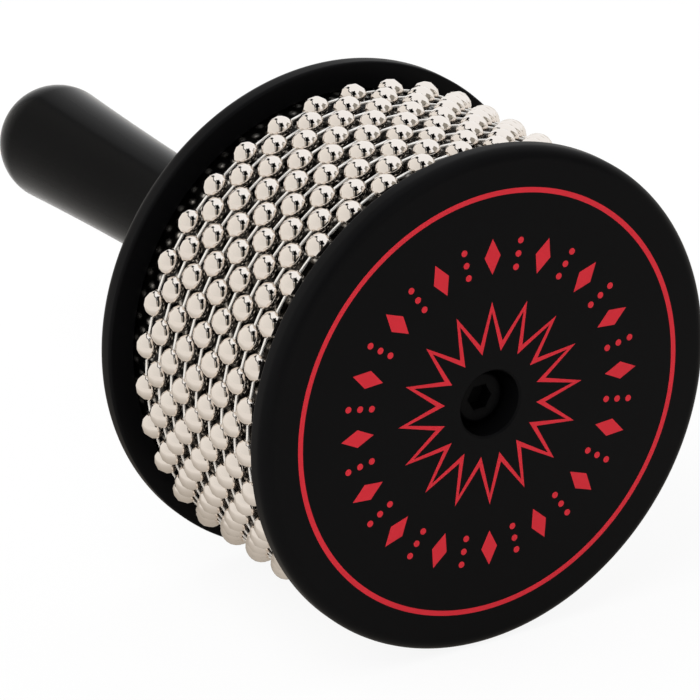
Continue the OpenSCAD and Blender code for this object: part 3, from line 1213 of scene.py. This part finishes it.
@dataclass(frozen=True)
class Studio:
    """Camera, floor, white surroundings, soft lights, and the cards of a room in the metal.

    The camera's place is given in radii of the disc, from the middle of the front face.
    """

    azimuth: float = -32.73
    elevation: float = 23.16
    lens: float = 259.9
    sensor: float = 36.0
    clip: tuple[float, float] = (0.01, 50.0)
    shift_right: float = 0.5258
    shift_down: float = 0.2014
    away: float = 18.8614
    middle_y: float = -50.0 * MM
    ambient: float = 0.55
    lights: tuple[SoftLight, ...] = (
        SoftLight("left_softbox", (-0.9, 0.3, 0.55), 1.3, (1.0, 1.2), 14.0),
        SoftLight("right_softbox", (0.9, 0.5, 0.55), 1.3, (1.0, 1.2), 12.0),
        SoftLight("front_softbox", (-0.6, 0.7, -1.0), 1.6, (1.4, 1.4), 22.0),
    )
    cards: tuple[MirrorCard, ...] = (
        MirrorCard("left_wall", (-148.0, -6.0), (-148.0, -15.0), (-6.0, 46.0), WALL, 2.3, 0.84),
        MirrorCard("left_wall_top", (-148.0, -15.0), (-124.0, -30.0), (45.9, 62.0), WALL, 2.3, 0.86),
        MirrorCard("left_frame", (-152.0, 0.0), (-152.0, -9.0), (-6.0, 46.0), FRAME, 2.34),
        MirrorCard("left_frame_top", (-152.0, -9.0), (-124.0, -16.0), (45.9, 68.0), FRAME, 2.34),
        MirrorCard("dark_knot", (-156.0, -138.0), (-152.0, -130.0), (42.0, 59.0), SOOT, 2.04),
        MirrorCard("dark_middle", (-8.0, 42.0), (-12.0, 44.0), (45.0, 75.0), (0.003, 0.003, 0.003), 2.0),
        MirrorCard("dark_top", (-22.0, 52.0), (-34.0, 60.0), (68.0, 77.0), SOOT, 2.02),
        MirrorCard("dark_stem", (-2.0, 18.0), (0.0, 22.0), (10.0, 48.0), (0.03, 0.03, 0.028), 2.04),
        MirrorCard("dark_table", (0.0, 30.0), (0.0, 22.0), (-6.0, 12.0), (0.006, 0.006, 0.005), 2.07),
        MirrorCard("bright_gap", (34.0, 42.0), (34.0, 42.0), (6.0, 36.0), (0.95, 0.92, 0.88), 2.08),
        MirrorCard("brown_room", (-5.0, 54.0), (-10.0, 40.0), (-6.0, 40.0), (0.52, 0.47, 0.41), 2.25),
        MirrorCard("right_room", (54.0, 126.0), (66.0, 106.0), (-6.0, 49.0), (0.3, 0.28, 0.245), 2.3),
        MirrorCard("right_dark", (72.0, 92.0), (74.0, 90.0), (-6.0, 20.0), (0.05, 0.045, 0.04), 2.15),
        MirrorCard("right_pane", (104.0, 116.0), (106.0, 114.0), (-6.0, 22.0), (0.9, 0.86, 0.8), 2.12),
    )

    @property
    def middle(self) -> Vector:
        """The point that the lights and the cards stand round."""
        return Vector((0.0, self.middle_y, AXIS.height))

    def basis(self) -> tuple[Vector, Vector, Vector]:
        """Directions of the camera, which looks down at its elevation from its azimuth.

        Returns:
            Its right, up and forward.
        """
        a, e = math.radians(self.azimuth), math.radians(self.elevation)
        back = Vector((math.sin(a) * math.cos(e), -math.cos(a) * math.cos(e), math.sin(e)))
        right = Vector((math.cos(a), math.sin(a), 0.0))
        return right, back.cross(right), -back

    def camera(self) -> None:
        """Sets the camera where the front face's middle comes out at the offsets held here."""
        right, up, forward = self.basis()
        front = Vector((0.0, AXIS.front_y, AXIS.height))
        offset = self.shift_right * right - self.shift_down * up + self.away * forward
        made = new_object("camera", bpy.data.cameras.new("camera"))
        made.data.lens = self.lens
        made.data.sensor_width = self.sensor
        made.data.clip_start, made.data.clip_end = self.clip
        turn = Matrix((right, up, -forward)).transposed().to_4x4()
        made.matrix_world = Matrix.Translation(front - DRUM.disc_r * offset) @ turn
        bpy.context.scene.camera = made

    def light(self, soft: SoftLight) -> None:
        """Sets up one of the lights, which the metal doesn't mirror.

        Args:
            soft: the light.
        """
        right, up, forward = self.basis()
        lamp = bpy.data.lights.new(soft.name, "AREA")
        lamp.shape = "RECTANGLE"
        lamp.size, lamp.size_y = soft.size
        lamp.energy = soft.power
        made = new_object(soft.name, lamp)
        aim = soft.aim[0] * right + soft.aim[1] * up + soft.aim[2] * forward
        place = aim.normalized() * soft.distance
        made.location = self.middle + place
        made.rotation_mode = "QUATERNION"
        made.rotation_quaternion = (-place).to_track_quat("-Z", "Y")
        made.visible_camera = False
        made.visible_glossy = False

    def surroundings(self) -> None:
        """Makes the world: white where it is seen, mirrored or refracted, and dimmer as a light."""
        world = bpy.data.worlds.new("studio")
        world.use_nodes = True
        bpy.context.scene.world = world
        tree = world.node_tree
        rays = new_node(tree, "ShaderNodeLightPath").outputs
        white = worked_out(tree, "MAXIMUM", rays["Is Camera Ray"], rays["Is Glossy Ray"])
        white = worked_out(tree, "MAXIMUM", white, rays["Is Transmission Ray"])
        level = new_node(tree, "ShaderNodeMapRange", {"Value": white, "To Min": self.ambient, "To Max": 1.0})
        feed(tree, tree.nodes["Background"], {"Color": WHITE, "Strength": level.outputs["Result"]})

    def build(self) -> None:
        """Sets up the whole studio."""
        bpy.context.scene.view_settings.view_transform = "Standard"
        self.camera()
        self.surroundings()
        Floor().build()
        for soft in self.lights:
            self.light(soft)
        right, _, forward = self.basis()
        ahead = Vector((-forward.x, -forward.y, 0.0)).normalized()
        for card in self.cards:
            card.build(ahead, right, self.middle)
        LOG.info("studio ready")


def main() -> None:
    """Builds every piece in order, then the studio."""
    logging.basicConfig(level=logging.INFO, format="%(name)s: %(message)s")
    finishes = Finishes()
    disc, bolt = finishes.disc.material(), finishes.bolt.material()
    EndDisc("front_plate", "front_disc", outer_face=0.0, inward=1.0, hub_r=12.5 * MM, hub_end=18.4 * MM,
            pocket_r=8.5 * MM, pocket_depth=14.4 * MM, pocket_lead=0.5 * MM).build(disc)
    EndDisc("back_plate", "back_disc", outer_face=DRUM.back_face, inward=-1.0, hub_r=15.95 * MM,
            hub_end=17.95 * MM, pocket_r=11.95 * MM, pocket_depth=13.95 * MM, keyed=True).build(disc)
    Sleeve().build(finishes.sleeve.material())
    Handle().build(finishes.grip.material())
    TieBolt().build(bolt)
    finish_node("bolt_washer", bolt)
    finish_node("handle_insert", finishes.brass.material())
    finish_node("drum_core", finishes.beech.material())
    BeadChains().build(finishes.nickel.material(), finishes.wire.material())
    FacePrint().build(finishes.ink.material())
    Studio().build()


if __name__ == "__main__":
    main()
